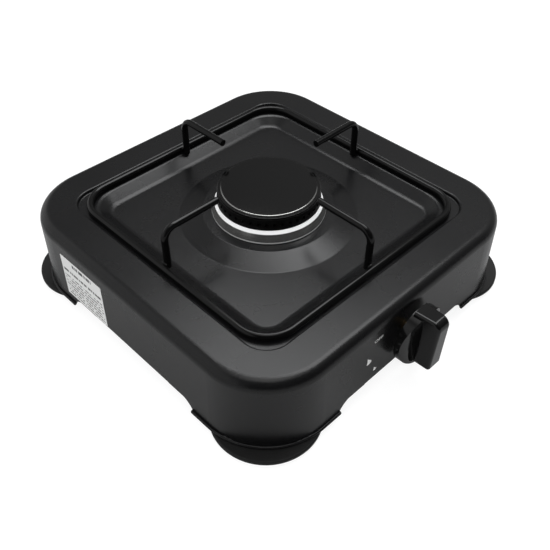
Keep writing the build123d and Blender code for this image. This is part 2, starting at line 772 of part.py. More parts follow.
plug_taper = (plug_front_radius - plug_back_radius) / plug_length
seat_end_y = plug_y + plug_length + loose_gap
with BuildPart() as valve_body:
    with BuildSketch(across(valve_axis, valve_y)):
        SlotOverall(ear_width, ear_height)
    extrude(amount=-ear_thickness)
    with BuildSketch(across(valve_axis, valve_y)):
        Circle(barrel_radius)
    extrude(amount=-barrel_length)
    with BuildSketch(across(valve_axis, barrel_end_y)):
        Circle(outlet_radius)
    extrude(amount=-outlet_length)
    with BuildSketch(Plane.YZ.offset(-inlet_boss_reach)):
        with Locations((inlet_y, knob_z)):
            Circle(inlet_boss_radius)
    extrude(amount=inlet_boss_reach)
    with BuildSketch(across(valve_axis, valve_y)):
        with GridLocations(ear_screw_spacing, 0, 2, 1):
            Circle(screw_radius + running_gap)
    extrude(amount=-ear_thickness, mode=Mode.SUBTRACT)
    # chamber for the collar and the spring, then the tapered seat of the plug
    with BuildSketch(Plane.XY.offset(knob_z)):
        with BuildLine():
            Polyline(
                (0, valve_y),
                (plug_front_radius + running_gap, valve_y),
                (plug_front_radius + running_gap, plug_y),
                (plug_back_radius + running_gap - plug_taper * loose_gap, seat_end_y),
                (0, seat_end_y),
                close=True,
            )
        make_face()
    revolve(axis=Axis((0, 0, knob_z), (0, 1, 0)), mode=Mode.SUBTRACT)
    with BuildSketch(across(valve_axis, seat_end_y)):
        Circle(passage_radius)
    extrude(amount=seat_end_y - outlet_end_y, mode=Mode.SUBTRACT)
    with BuildSketch(across(valve_axis, outlet_end_y)):
        Circle(injector_thread_radius + running_gap)
    extrude(amount=injector_thread + seat_gap, mode=Mode.SUBTRACT)
    with BuildSketch(Plane.YZ.offset(-inlet_boss_reach)):
        with Locations((inlet_y, knob_z)):
            Circle(passage_radius)
    extrude(amount=inlet_boss_reach, mode=Mode.SUBTRACT)
save(valve_body.part, "valve_body")

with BuildPart() as valve_plug:
    with BuildSketch(Plane.XY.offset(knob_z)):
        with BuildLine():
            Polyline(
                (0, plug_y),
                (plug_front_radius, plug_y),
                (plug_back_radius, plug_y + plug_length),
                (0, plug_y + plug_length),
                close=True,
            )
        make_face()
    revolve(axis=Axis((0, 0, knob_z), (0, 1, 0)))
    with BuildSketch(across(valve_axis, plug_y)):
        Rectangle(tongue_thickness + 2 * running_gap, tongue_width + 2 * running_gap)
    extrude(amount=-plug_slot_depth, mode=Mode.SUBTRACT)
    # the gas way: in through the side when the plug is turned open, and out of its back
    with BuildSketch(across(valve_axis, plug_y + plug_length)):
        Circle(passage_radius)
    extrude(amount=plug_length - plug_slot_depth, mode=Mode.SUBTRACT)
    with BuildSketch(Plane.XY.offset(knob_z)):
        with Locations((0, inlet_y)):
            Circle(passage_radius)
    extrude(amount=plug_front_radius, mode=Mode.SUBTRACT)
save(valve_plug.part, "valve_plug")

spring_height = spring_room - 2 * seat_gap - 2 * spring_wire_radius
with BuildPart() as valve_spring:
    with BuildLine() as spring_path:
        Helix(
            spring_height / spring_turns,
            spring_height,
            spring_coil_radius,
            center=(0, plug_y - seat_gap - spring_wire_radius, knob_z),
            direction=(0, -1, 0),
        )
    with BuildSketch(Plane(spring_path.line @ 0, z_dir=spring_path.line % 0)):
        Circle(spring_wire_radius)
    sweep(path=spring_path.line, is_frenet=True)
save(valve_spring.part, "valve_spring")

hex_y = outlet_end_y + seat_gap
with BuildPart() as injector:
    with BuildSketch(across(valve_axis, hex_y)):
        Circle(injector_thread_radius)
    extrude(amount=injector_thread)
    with BuildSketch(across(valve_axis, hex_y)):
        RegularPolygon(injector_hex / 2, 6, major_radius=False)
    extrude(amount=-injector_hex_length)
    with BuildSketch(across(valve_axis, hex_y + injector_hex_length)):
        Circle(injector_nose_radius)
    extrude(amount=-injector_nose, taper=injector_nose_taper)
    with BuildSketch(across(valve_axis, hex_y + injector_hex_length + injector_nose)):
        Circle(injector_orifice_radius)
    extrude(amount=injector_nose, mode=Mode.SUBTRACT)
    with BuildSketch(across(valve_axis, hex_y - injector_thread)):
        Circle(injector_bore_radius)
    extrude(amount=-injector_thread - injector_hex_length, mode=Mode.SUBTRACT)
save(injector.part, "injector")

# ---------------------------------------------------------------- gas pipe and hose nozzle
nozzle_start_y = skirt_half(nozzle_z) - sheet - nozzle_inner_length
pipe_start = (-inlet_boss_reach - seat_gap, inlet_y, knob_z)
pipe_end_y = nozzle_start_y - seat_gap

with BuildPart() as gas_pipe:
    with BuildLine() as pipe_path:
        FilletPolyline(
            pipe_start,
            (nozzle_x, inlet_y, knob_z),
            (nozzle_x, pipe_run_end, knob_z),
            (nozzle_x, pipe_drop_end, nozzle_z),
            (nozzle_x, pipe_end_y, nozzle_z),
            radius=[pipe_bend, pipe_drop_bend, pipe_drop_bend],
        )
    with BuildSketch(Plane(pipe_start, x_dir=(0, 1, 0), z_dir=(-1, 0, 0))):
        Circle(pipe_radius)
        Circle(pipe_radius - pipe_wall, mode=Mode.SUBTRACT)
    sweep(path=pipe_path.line)
save(gas_pipe.part, "gas_pipe")

with BuildPart() as inlet_nut:
    with BuildSketch(Plane.YZ.offset(-inlet_boss_reach + nut_cover)):
        with Locations((inlet_y, knob_z)):
            RegularPolygon(inlet_nut_flats / 2, 6, major_radius=False)
    extrude(amount=-nut_length)
    with BuildSketch(Plane.YZ.offset(-inlet_boss_reach + nut_cover)):
        with Locations((inlet_y, knob_z)):
            Circle(inlet_boss_radius + seat_gap)
    extrude(amount=-nut_cover - seat_gap, mode=Mode.SUBTRACT)
    with BuildSketch(Plane.YZ.offset(-inlet_boss_reach + nut_cover)):
        with Locations((inlet_y, knob_z)):
            Circle(pipe_radius + seat_gap)
    extrude(amount=-nut_length, mode=Mode.SUBTRACT)
save(inlet_nut.part, "inlet_nut")

with BuildPart() as outlet_nut:
    with BuildSketch(across(nozzle_axis, nozzle_start_y + nut_cover)):
        RegularPolygon(outlet_nut_flats / 2, 6, major_radius=False)
    extrude(amount=nut_length)
    with BuildSketch(across(nozzle_axis, nozzle_start_y + nut_cover)):
        Circle(nozzle_thread_radius + seat_gap)
    extrude(amount=nut_cover + seat_gap, mode=Mode.SUBTRACT)
    with BuildSketch(across(nozzle_axis, nozzle_start_y + nut_cover)):
        Circle(pipe_radius + seat_gap)
    extrude(amount=nut_length, mode=Mode.SUBTRACT)
save(outlet_nut.part, "outlet_nut")

# flat faces against the leaning skirt clear it by what it leans across their height
nozzle_lean = nozzle_washer_radius * tan(radians(skirt_draft)) + seat_gap
hex_face_y = skirt_half(nozzle_z) - sheet - nozzle_lean
washer_y = skirt_half(nozzle_z) + nozzle_lean
locknut_y = washer_y + nozzle_washer_thickness + seat_gap
barb_start_y = locknut_y + locknut_length
nozzle_end_y = skirt_half(nozzle_z) + nozzle_reach
barb_length = (nozzle_end_y - barb_start_y) / barb_count

with BuildPart() as hose_nozzle:
    with BuildSketch(across(nozzle_axis, nozzle_start_y)):
        Circle(nozzle_thread_radius)
    extrude(amount=-nozzle_inner_length)
    with BuildSketch(across(nozzle_axis, hex_face_y)):
        RegularPolygon(nozzle_hex / 2, 6, major_radius=False)
    extrude(amount=nozzle_hex_length)
    with BuildSketch(across(nozzle_axis, hex_face_y)):
        Circle(nozzle_stem_radius)
    extrude(amount=hex_face_y - barb_start_y)
    for barb in range(barb_count):
        with BuildSketch(across(nozzle_axis, barb_start_y + barb * barb_length)):
            Circle(barb_radius)
        with BuildSketch(across(nozzle_axis, barb_start_y + (barb + 1) * barb_length)):
            Circle(barb_waist_radius)
        loft()
    with BuildSketch(across(nozzle_axis, nozzle_start_y)):
        Circle(nozzle_bore_radius)
    extrude(amount=nozzle_start_y - nozzle_end_y, mode=Mode.SUBTRACT)
save(hose_nozzle.part, "hose_nozzle")

with BuildPart() as nozzle_washer:
    with BuildSketch(across(nozzle_axis, washer_y)):
        Circle(nozzle_washer_radius)
        Circle(nozzle_stem_radius + seat_gap, mode=Mode.SUBTRACT)
    extrude(amount=-nozzle_washer_thickness)
save(nozzle_washer.part, "nozzle_washer")

with BuildPart() as nozzle_locknut:
    with BuildSketch(across(nozzle_axis, locknut_y)):
        RegularPolygon(nozzle_hex / 2, 6, major_radius=False)
        Circle(nozzle_stem_radius + seat_gap, mode=Mode.SUBTRACT)
    extrude(amount=-locknut_length + seat_gap)
save(nozzle_locknut.part, "nozzle_locknut")

# ---------------------------------------------------------------- rating label
label_z = skirt_z + label_rise
label_face = Plane(
    (-skirt_half(label_z) - seat_gap, label_y, label_z),
    x_dir=(0, -1, 0),
    z_dir=(-cos(radians(skirt_draft)), 0, sin(radians(skirt_draft))),
)
with BuildPart() as rating_label:
    with BuildSketch(label_face):
        Rectangle(label_length, label_height)
    extrude(amount=label_thickness)
save(rating_label.part, "rating_label")
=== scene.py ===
"""The looks of a one-burner tabletop gas stove: its finishes, a cap and a turned cup with pale edges painted
as highlights, weld beads and printed marks, on a plain floor in soft studio light. Z is up, the knob faces -Y
and the label faces -X. Lengths are metres, or millimetres where a heading or a comment says so."""

import json
from math import cos, pi, radians, sin

import bpy
import numpy as np
from mathutils import Matrix, Vector


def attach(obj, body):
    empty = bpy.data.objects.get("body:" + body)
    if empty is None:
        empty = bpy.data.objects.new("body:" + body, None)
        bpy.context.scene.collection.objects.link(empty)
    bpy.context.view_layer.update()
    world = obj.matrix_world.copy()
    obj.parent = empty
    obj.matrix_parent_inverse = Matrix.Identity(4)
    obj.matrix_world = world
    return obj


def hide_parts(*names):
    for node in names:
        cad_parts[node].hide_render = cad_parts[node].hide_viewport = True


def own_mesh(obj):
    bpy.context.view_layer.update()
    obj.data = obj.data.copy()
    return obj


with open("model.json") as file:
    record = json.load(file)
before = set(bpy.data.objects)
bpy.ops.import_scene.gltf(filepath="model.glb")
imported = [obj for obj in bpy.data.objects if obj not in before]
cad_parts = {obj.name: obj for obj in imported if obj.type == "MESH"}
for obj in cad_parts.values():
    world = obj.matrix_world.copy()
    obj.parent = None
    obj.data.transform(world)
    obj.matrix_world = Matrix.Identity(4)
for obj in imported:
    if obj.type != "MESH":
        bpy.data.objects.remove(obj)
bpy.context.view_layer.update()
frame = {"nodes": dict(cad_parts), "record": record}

MM = 0.001

# ---------------------------------------------------------------- camera
CAMERA_PLACE = Vector((-0.3129, -0.3206, 0.4241))
CAMERA_AZIMUTH = radians(-44.985)  # 0 looks along +Y
CAMERA_TILT = radians(43.787)  # below the horizon
CAMERA_ROLL = radians(0.492)
CAMERA_LENS = 46.68  # millimetres
SENSOR = 36.0  # millimetres
NEAREST = 0.01  # metres in front of the camera


def make_camera():
    """Camera whose axes are worked out from its azimuth, tilt and roll."""
    ahead = Vector((-sin(CAMERA_AZIMUTH), cos(CAMERA_AZIMUTH), 0)) * cos(CAMERA_TILT)
    ahead.z = -sin(CAMERA_TILT)
    level = Vector((cos(CAMERA_AZIMUTH), sin(CAMERA_AZIMUTH), 0))
    upright = level.cross(ahead)
    right = level * cos(CAMERA_ROLL) + upright * sin(CAMERA_ROLL)
    up = upright * cos(CAMERA_ROLL) - level * sin(CAMERA_ROLL)
    lens = bpy.data.cameras.new("camera")
    lens.lens = CAMERA_LENS
    lens.sensor_width = SENSOR
    lens.clip_start = NEAREST
    camera = bpy.data.objects.new("camera", lens)
    turn = Matrix((right, up, -ahead)).transposed().to_4x4()
    camera.matrix_world = Matrix.Translation(CAMERA_PLACE) @ turn
    bpy.context.scene.collection.objects.link(camera)
    bpy.context.scene.camera = camera


# ---------------------------------------------------------------- node helpers
class Nodes:
    """Short calls for making and joining the nodes of one tree."""

    def __init__(self, tree):
        self.tree = tree

    def add(self, kind, **settings):
        node = self.tree.nodes.new(kind)
        for key, value in settings.items():
            setattr(node, key, value)
        return node

    def join(self, source, target):
        self.tree.links.new(source, target)

    def feed(self, socket, value):
        """Joins a socket to another node's output, or sets it to a constant."""
        if isinstance(value, bpy.types.NodeSocket):
            self.join(value, socket)
        else:
            socket.default_value = value

    def math(self, operation, a, b=0.0):
        node = self.add("ShaderNodeMath", operation=operation)
        self.feed(node.inputs[0], a)
        self.feed(node.inputs[1], b)
        return node.outputs[0]

    def span(self, value, low, high, to_low=0.0, to_high=1.0):
        """Value moved from one range to another, held at the ends."""
        node = self.add("ShaderNodeMapRange")
        self.feed(node.inputs["Value"], value)
        for name, number in zip(("From Min", "From Max", "To Min", "To Max"), (low, high, to_low, to_high)):
            self.feed(node.inputs[name], number)
        return node.outputs["Result"]

    def blend(self, share, low, high):
        """Number that is low where share is 0 and high where it is 1."""
        node = self.add("ShaderNodeMix", data_type="FLOAT")
        for place, value in ((0, share), (2, low), (3, high)):
            self.feed(node.inputs[place], value)
        return node.outputs[0]

    def mix(self, share, first, second):
        """Colour that is the first where share is 0 and the second where it is 1."""
        node = self.add("ShaderNodeMix", data_type="RGBA")
        for place, value in ((0, share), (6, first), (7, second)):
            self.feed(node.inputs[place], value)
        return node.outputs[2]

    def within(self, value, low, high):
        """1 between two values and 0 outside."""
        above = self.math("GREATER_THAN", value, low)
        return self.math("MULTIPLY", above, self.math("LESS_THAN", value, high))

    def split(self, vector):
        """X, Y and Z of a vector."""
        node = self.add("ShaderNodeSeparateXYZ")
        self.join(vector, node.inputs[0])
        return [node.outputs[axis] for axis in "XYZ"]

    def combine(self, x, y, z=0.0):
        node = self.add("ShaderNodeCombineXYZ")
        for place, value in enumerate((x, y, z)):
            self.feed(node.inputs[place], value)
        return node.outputs[0]

    def radius(self, x, y):
        """Distance from the Z axis."""
        squares = self.math("ADD", self.math("POWER", x, 2.0), self.math("POWER", y, 2.0))
        return self.math("SQRT", squares)

    def dot(self, vector, axis):
        node = self.add("ShaderNodeVectorMath", operation="DOT_PRODUCT")
        self.join(vector, node.inputs[0])
        node.inputs[1].default_value = axis
        return node.outputs["Value"]

    def noise(self, vector, size, detail, roughness):
        """Noise from 0 to 1 whose lumps are about as large as size."""
        node = self.add("ShaderNodeTexNoise")
        self.feed(node.inputs["Vector"], vector)
        self.feed(node.inputs["Scale"], self.math("DIVIDE", 1.0, size))
        node.inputs["Detail"].default_value = detail
        node.inputs["Roughness"].default_value = roughness
        return node.outputs["Fac"]


# ---------------------------------------------------------------- studio
FLOOR_SIZE = 6.0
FLOOR_SEEN = (0.20, 0.86)  # colour and glow straight to the camera, so that the shadows stay faint
FLOOR_REFLECTED = (0.40, 0.05)  # colour and glow as the stove reflects it
FLOOR_ROUGHNESS = 0.9
LIGHT_COLOUR = (0.98, 0.99, 1.0)
SIDE = Vector((1, -1, 0)).normalized()  # to the camera's right
AWAY = Vector((1, 1, 0)).normalized()  # from the camera over the stove

NEAR_WALL = 0.05  # strength behind the camera
FAR_WALL = 0.43  # strength beyond the stove
CEILING = 3.0
LEFT_SHARE = 0.62  # of a wall's strength, to the camera's left
RIGHT_SHARE = 1.75
LOW_SHARE = 0.55  # of a wall's strength, at its foot
HIGH_SHARE = 1.12
PALE_SCREEN = 0.9  # strength added far to the camera's left

# Where each strength changes: how far a step of length 1 in that direction goes away from the camera, to its
# right or up
WALL_TURN = (-0.3, 0.5)
SIDE_TURN = (-0.6, 0.6)
HEIGHT_TURN = (0.40, 0.75)
SCREEN_TURN = (-0.38, -0.62)
CEILING_TURN = (0.90, 0.99)


def soft_box(name, reach, shift, rise, width, depth, glow, mirrored):
    """Rectangular light whose face, as bright as glow, looks at the stove from reach metres beyond it, shift
    metres to the right and rise metres up. Where it isn't mirrored, it lights the stove but doesn't show in
    its gloss."""
    place = AWAY * reach + SIDE * shift + Vector((0, 0, rise))
    light = bpy.data.lights.new(name, "AREA")
    light.shape = "RECTANGLE"
    light.size = width
    light.size_y = depth
    light.energy = glow * pi * width * depth
    light.color = LIGHT_COLOUR
    box = bpy.data.objects.new(name, light)
    box.matrix_world = Matrix.Translation(place) @ place.to_track_quat("Z", "Y").to_matrix().to_4x4()
    box.visible_glossy = mirrored
    bpy.context.scene.collection.objects.link(box)


def make_world():
    """Walls under a pale ceiling: dark behind the camera and paler beyond the stove, to the right and
    upwards, with a pale screen far to the left."""
    world = bpy.data.worlds.new("studio_walls")
    world.use_nodes = True
    world.node_tree.nodes.clear()
    nodes = Nodes(world.node_tree)
    direction = nodes.add("ShaderNodeTexCoord").outputs["Generated"]
    height = nodes.split(direction)[2]
    sideways = nodes.dot(direction, SIDE)
    wall = nodes.span(nodes.dot(direction, AWAY), *WALL_TURN, NEAR_WALL, FAR_WALL)
    wall = nodes.math("MULTIPLY", wall, nodes.span(sideways, *SIDE_TURN, LEFT_SHARE, RIGHT_SHARE))
    wall = nodes.math("MULTIPLY", wall, nodes.span(height, *HEIGHT_TURN, LOW_SHARE, HIGH_SHARE))
    wall = nodes.math("ADD", wall, nodes.span(sideways, *SCREEN_TURN, 0.0, PALE_SCREEN))
    strength = nodes.blend(nodes.span(height, *CEILING_TURN), wall, CEILING)
    back = nodes.add("ShaderNodeBackground")
    nodes.join(strength, back.inputs["Strength"])
    nodes.join(back.outputs[0], nodes.add("ShaderNodeOutputWorld").inputs["Surface"])
    bpy.context.scene.world = world


def make_floor():
    """Pale floor that glows a little to the camera, so that the shadows on it stay light."""
    half = FLOOR_SIZE / 2
    corners = [(-half, -half, 0), (half, -half, 0), (half, half, 0), (-half, half, 0)]
    mesh = bpy.data.meshes.new("floor")
    mesh.from_pydata(corners, [], [(0, 1, 2, 3)])
    floor = bpy.data.objects.new("floor", mesh)
    bpy.context.scene.collection.objects.link(floor)
    paint = bpy.data.materials.new("floor_paint")
    paint.use_nodes = True
    shader = paint.node_tree.nodes["Principled BSDF"]
    nodes = Nodes(paint.node_tree)
    seen = nodes.add("ShaderNodeLightPath").outputs["Is Camera Ray"]
    for name, reflected, straight in zip(("Base Color", "Emission Strength"), FLOOR_REFLECTED, FLOOR_SEEN):
        nodes.join(nodes.blend(seen, reflected, straight), shader.inputs[name])
    shader.inputs["Emission Color"].default_value = (1, 1, 1, 1)
    shader.inputs["Roughness"].default_value = FLOOR_ROUGHNESS
    shader.inputs["Specular IOR Level"].default_value = 0.0
    mesh.materials.append(paint)


def make_studio():
    """Floor, walls, a soft box over the stove's far side and another above and behind the camera."""
    bpy.context.scene.view_settings.view_transform = "Standard"
    make_floor()
    make_world()
    soft_box(
        "soft_box_far", reach=0.56, shift=0.25, rise=1.42, width=1.3, depth=0.62, glow=6.0, mirrored=True
    )
    soft_box(
        "soft_box_near", reach=-1.0, shift=0.0, rise=1.12, width=1.5, depth=0.69, glow=4.4, mirrored=False
    )


# ---------------------------------------------------------------- textures
# Noise values that become 0 and 1 of a mask
FINE_SPREAD = (0.35, 0.65)
PATCH_SPREAD = (0.3, 0.7)


def new_group(name, inputs, outputs):
    """Empty shader node group with a vector input called Place, float inputs and named outputs."""
    tree = bpy.data.node_groups.new(name, "ShaderNodeTree")
    tree.interface.new_socket("Place", in_out="INPUT", socket_type="NodeSocketVector")
    for label in inputs:
        tree.interface.new_socket(label, in_out="INPUT", socket_type="NodeSocketFloat")
    for label in outputs:
        tree.interface.new_socket(label, in_out="OUTPUT", socket_type="NodeSocketFloat")
    nodes = Nodes(tree)
    return nodes, nodes.add("NodeGroupInput").outputs, nodes.add("NodeGroupOutput").inputs


def make_grain_group():
    """Surface grain: fine specks over long soft waves, as a height, and the specks as a mask."""
    nodes, given, out = new_group("surface_grain", ("Speck", "Wave", "Wave Share"), ("Height", "Mask"))
    specks = nodes.noise(given["Place"], given["Speck"], detail=3.0, roughness=0.6)
    waves = nodes.noise(given["Place"], given["Wave"], detail=2.0, roughness=0.5)
    low = nodes.math("MULTIPLY", waves, given["Wave Share"])
    high = nodes.math("MULTIPLY", specks, nodes.math("SUBTRACT", 1.0, given["Wave Share"]))
    nodes.join(nodes.math("ADD", low, high), out["Height"])
    nodes.join(nodes.span(specks, *FINE_SPREAD), out["Mask"])
    return nodes.tree


def make_mottle_group():
    """Large soft patches, as where hands have wiped a surface, from 0 to 1."""
    nodes, given, out = new_group("mottle", ("Size",), ("Mask",))
    patches = nodes.noise(given["Place"], given["Size"], detail=4.0, roughness=0.55)
    nodes.join(nodes.span(patches, *PATCH_SPREAD), out["Mask"])
    return nodes.tree


def make_turned_group():
    """Lathe marks: fine rings round the local Z axis, as a height and a mask."""
    nodes, given, out = new_group("lathe_marks", ("Pitch",), ("Height", "Mask"))
    x, y, z = nodes.split(given["Place"])
    section = nodes.combine(nodes.radius(x, y), 0.0, z)
    rings = nodes.noise(section, given["Pitch"], detail=2.0, roughness=0.7)
    nodes.join(rings, out["Height"])
    nodes.join(nodes.span(rings, *FINE_SPREAD), out["Mask"])
    return nodes.tree


GRAIN = make_grain_group()
MOTTLE = make_mottle_group()
TURNED = make_turned_group()


# ---------------------------------------------------------------- finishes
def grey(shade):
    return (shade, shade, shade)


# Darkest and palest colour, least and greatest roughness
MATT_LOOKS = {
    "crown_black": (grey(0.0005), grey(0.002), 0.35, 0.5),
    "cast_aluminium": ((0.42, 0.42, 0.43), (0.55, 0.55, 0.56), 0.45, 0.6),
    "foot_plastic": (grey(0.004), grey(0.007), 0.5, 0.65),
    "seal_rubber": (grey(0.012), grey(0.02), 0.7, 0.8),
}
METAL_LOOKS = {
    "zinc_steel": ((0.45, 0.46, 0.48), (0.60, 0.61, 0.63), 0.3, 0.42),
    "brass": ((0.30, 0.21, 0.09), (0.42, 0.31, 0.14), 0.3, 0.42),
    "spring_steel": ((0.38, 0.38, 0.39), (0.50, 0.50, 0.51), 0.3, 0.4),
}

# Index of refraction, least and greatest roughness
GLOSS_LOOKS = {
    "wire_black": (1.29, 0.11, 0.17),
    "knob_plastic": (1.36, 0.08, 0.13),
}
SOFT_GLOSS = 1.36  # index of refraction of every other finish

CUP_HIGHLIGHT_BAND = (77.0 * MM, 77.4 * MM)  # heights between which the turned side gives way to the band painted pale as a highlight
CUP_FOOT_HIGHLIGHT = (70.2 * MM, 71.2 * MM)  # heights of the pale line painted as a highlight at the cup's foot
CUP_FOOT_HIGHLIGHT_SHARE = 0.45  # how pale that painted highlight is, as a share of the band

CAP_HIGHLIGHT_RADII = (37.0 * MM, 38.0 * MM)  # radii between which the cap's edge is painted as bare steel, a painted highlight
CAP_HIGHLIGHT_FOOT = 90.8 * MM
CAP_HIGHLIGHT_TURN = (0.0, 0.7)  # cosines round the cap between which the painted highlight grows towards the camera

LABEL_FACE = -140.0 * MM  # only what lies beyond it is printed
INK_ABOVE = 0.46  # noise that leaves a word rather than a gap
ROW_SHIFT = 7.3  # sets the words of each row apart from those of the next
# Inked share of the pitch, then millimetres: top, foot, pitch, length of a word, front end and back end
LABEL_ROWS = (
    (0.95, 57.0, 53.8, 3.3, 1.7, 40.0, 65.0),
    (0.90, 47.6, 45.2, 2.5, 2.4, 29.0, 78.0),
    (0.36, 43.0, 21.3, 3.1, 1.8, 29.0, 53.0),
    (0.36, 43.0, 21.3, 3.1, 2.3, 54.5, 78.0),
)


class Finish(Nodes):
    """One material: its Principled shader, and the calls that feed it."""

    def __init__(self, name, metallic=0.0, refraction=SOFT_GLOSS):
        self.material = bpy.data.materials.new(name)
        self.material.use_nodes = True
        super().__init__(self.material.node_tree)
        self.shader = self.tree.nodes["Principled BSDF"]
        self.shader.inputs["Metallic"].default_value = metallic
        self.shader.inputs["IOR"].default_value = refraction
        self.place = self.add("ShaderNodeTexCoord").outputs["Object"]

    def group(self, tree, **values):
        node = self.add("ShaderNodeGroup", node_tree=tree)
        self.join(self.place, node.inputs["Place"])
        for label, value in values.items():
            node.inputs[label.replace("_", " ")].default_value = value
        return node.outputs

    def colour(self, share, first, second):
        self.join(self.mix(share, (*first, 1), (*second, 1)), self.shader.inputs["Base Color"])

    def rough(self, share, first, second):
        self.join(self.span(share, 0.0, 1.0, first, second), self.shader.inputs["Roughness"])

    def bump(self, height, depth):
        node = self.add("ShaderNodeBump")
        node.inputs["Distance"].default_value = depth
        self.join(height, node.inputs["Height"])
        self.join(node.outputs[0], self.shader.inputs["Normal"])


def enamel():
    """Satin black enamel with a fine grain."""
    finish = Finish("enamel_black")
    grain = finish.group(GRAIN, Speck=0.0008, Wave=0.008, Wave_Share=0.1)
    wiped = finish.group(MOTTLE, Size=0.06)
    finish.colour(grain["Mask"], (0.0022, 0.0022, 0.0024), (0.0048, 0.0048, 0.0051))
    finish.rough(wiped["Mask"], 0.25, 0.29)
    finish.bump(grain["Height"], 0.00006)
    return finish.material


def gloss_black(name, refraction, smooth, rough):
    """Glossy black skin with a faint unevenness."""
    finish = Finish(name, refraction=refraction)
    grain = finish.group(GRAIN, Speck=0.0012, Wave=0.01, Wave_Share=0.5)
    wiped = finish.group(MOTTLE, Size=0.03)
    finish.colour(wiped["Mask"], grey(0.002), grey(0.0027))
    finish.rough(wiped["Mask"], smooth, rough)
    finish.bump(grain["Height"], 0.00003)
    return finish.material


def matt(name, dark, light, smooth, rough):
    """Matt grained skin, as on moulded feet, rubber and castings."""
    finish = Finish(name)
    grain = finish.group(GRAIN, Speck=0.0005, Wave=0.006, Wave_Share=0.3)
    finish.colour(grain["Mask"], dark, light)
    finish.rough(grain["Mask"], smooth, rough)
    finish.bump(grain["Height"], 0.0001)
    return finish.material


def plain_metal(name, dark, light, smooth, rough):
    """Bright metal with fine specks and soft patches."""
    finish = Finish(name, metallic=1.0)
    grain = finish.group(GRAIN, Speck=0.0008, Wave=0.01, Wave_Share=0.4)
    patches = finish.group(MOTTLE, Size=0.012)
    finish.colour(patches["Mask"], dark, light)
    finish.rough(grain["Mask"], smooth, rough)
    finish.bump(grain["Height"], 0.00003)
    return finish.material


def cup_metal():
    """Burner cup: a turned side that mirrors the room, with painted highlights: a pale band above it and a
    pale line at its foot.
    """
    finish = Finish("cup_aluminium")
    marks = finish.group(TURNED, Pitch=0.0004)
    height = finish.split(finish.place)[2]
    # Painted highlight: the band and the foot line are near-white and not metallic, in place of a reflection.
    edge = finish.math("MULTIPLY", finish.within(height, *CUP_FOOT_HIGHLIGHT), CUP_FOOT_HIGHLIGHT_SHARE)
    painted_band_highlight = finish.math("MAXIMUM", finish.span(height, *CUP_HIGHLIGHT_BAND), edge)
    side = finish.mix(marks["Mask"], (0.24, 0.24, 0.235, 1), (0.40, 0.40, 0.39, 1))
    finish.join(finish.mix(painted_band_highlight, side, (0.97, 0.97, 0.97, 1)), finish.shader.inputs["Base Color"])
    finish.join(finish.span(painted_band_highlight, 0.0, 1.0, 0.86, 0.0), finish.shader.inputs["Metallic"])
    finish.rough(painted_band_highlight, 0.2, 0.5)
    finish.bump(marks["Height"], 0.00001)
    return finish.material


def cap_enamel():
    """Gloss black cap with a painted highlight: its upper edge is painted as bare steel on the side that
    faces -X and -Y, towards the camera.
    """
    finish = Finish("cap_black")
    grain = finish.group(GRAIN, Speck=0.0012, Wave=0.01, Wave_Share=0.2)
    x, y, z = finish.split(finish.place)
    radius = finish.radius(x, y)
    # Painted highlight: the edge is bare grey steel only on the side towards the camera.
    above = finish.math("GREATER_THAN", z, CAP_HIGHLIGHT_FOOT)
    edge = finish.math("MULTIPLY", finish.within(radius, *CAP_HIGHLIGHT_RADII), above)
    facing = finish.math("DIVIDE", finish.dot(finish.place, -AWAY), radius)
    painted_edge_highlight = finish.math("MULTIPLY", edge, finish.span(facing, *CAP_HIGHLIGHT_TURN))
    finish.colour(painted_edge_highlight, grey(0.002), (0.32, 0.32, 0.31))
    finish.join(painted_edge_highlight, finish.shader.inputs["Metallic"])
    finish.rough(grain["Mask"], 0.09, 0.12)
    finish.bump(grain["Height"], 0.00002)
    return finish.material


def label_print():
    """White label with rows of dashes for its print: two bold rows, then fine rows in two columns."""
    finish = Finish("label_paper")
    grain = finish.group(GRAIN, Speck=0.0005, Wave=0.006, Wave_Share=0.3)
    x, y, z = finish.split(finish.place)
    ink = 0.0
    for inked, *sizes in LABEL_ROWS:
        top, foot, pitch, length, front, back = (size * MM for size in sizes)
        row = finish.math("DIVIDE", finish.math("SUBTRACT", z, foot), pitch)
        line = finish.math("LESS_THAN", finish.math("FRACT", row), inked)
        inside = finish.math("MULTIPLY", finish.within(z, foot, top), finish.within(y, front, back))
        row_shift = finish.math("MULTIPLY", finish.math("FLOOR", row), ROW_SHIFT)
        along = finish.combine(finish.math("DIVIDE", y, length), row_shift)
        words = finish.noise(along, size=1.0, detail=1.0, roughness=0.5)
        word = finish.math("GREATER_THAN", words, INK_ABOVE)
        mark = finish.math("MULTIPLY", finish.math("MULTIPLY", inside, line), word)
        ink = finish.math("MAXIMUM", ink, mark)
    ink = finish.math("MULTIPLY", ink, finish.math("LESS_THAN", x, LABEL_FACE))
    finish.colour(ink, (0.84, 0.84, 0.83), grey(0.03))
    finish.rough(ink, 0.5, 0.4)
    finish.bump(grain["Height"], 0.00002)
    return finish.material


def make_finishes():
    """Every finish by its slot's name."""
    finishes = {
        "enamel_black": enamel(),
        "cap_black": cap_enamel(),
        "cup_aluminium": cup_metal(),
        "label_paper": label_print(),
    }
    for make, looks in ((gloss_black, GLOSS_LOOKS), (matt, MATT_LOOKS), (plain_metal, METAL_LOOKS)):
        for name, look in looks.items():
            finishes[name] = make(name, *look)
    return finishes


FINISHES = make_finishes()


def dress_nodes():
    """Gives each CAD node the finish of its own slot."""
    for row in frame["record"]["subparts"]:
        mesh = frame["nodes"][row["node"]].data
        for place in range(len(mesh.materials)):
            mesh.materials[place] = FINISHES[row["material_slot"]]


# ---------------------------------------------------------------- shapes
TURNS = 256  # points round a turned piece
ARC_STEPS = 6  # points along the round of one corner


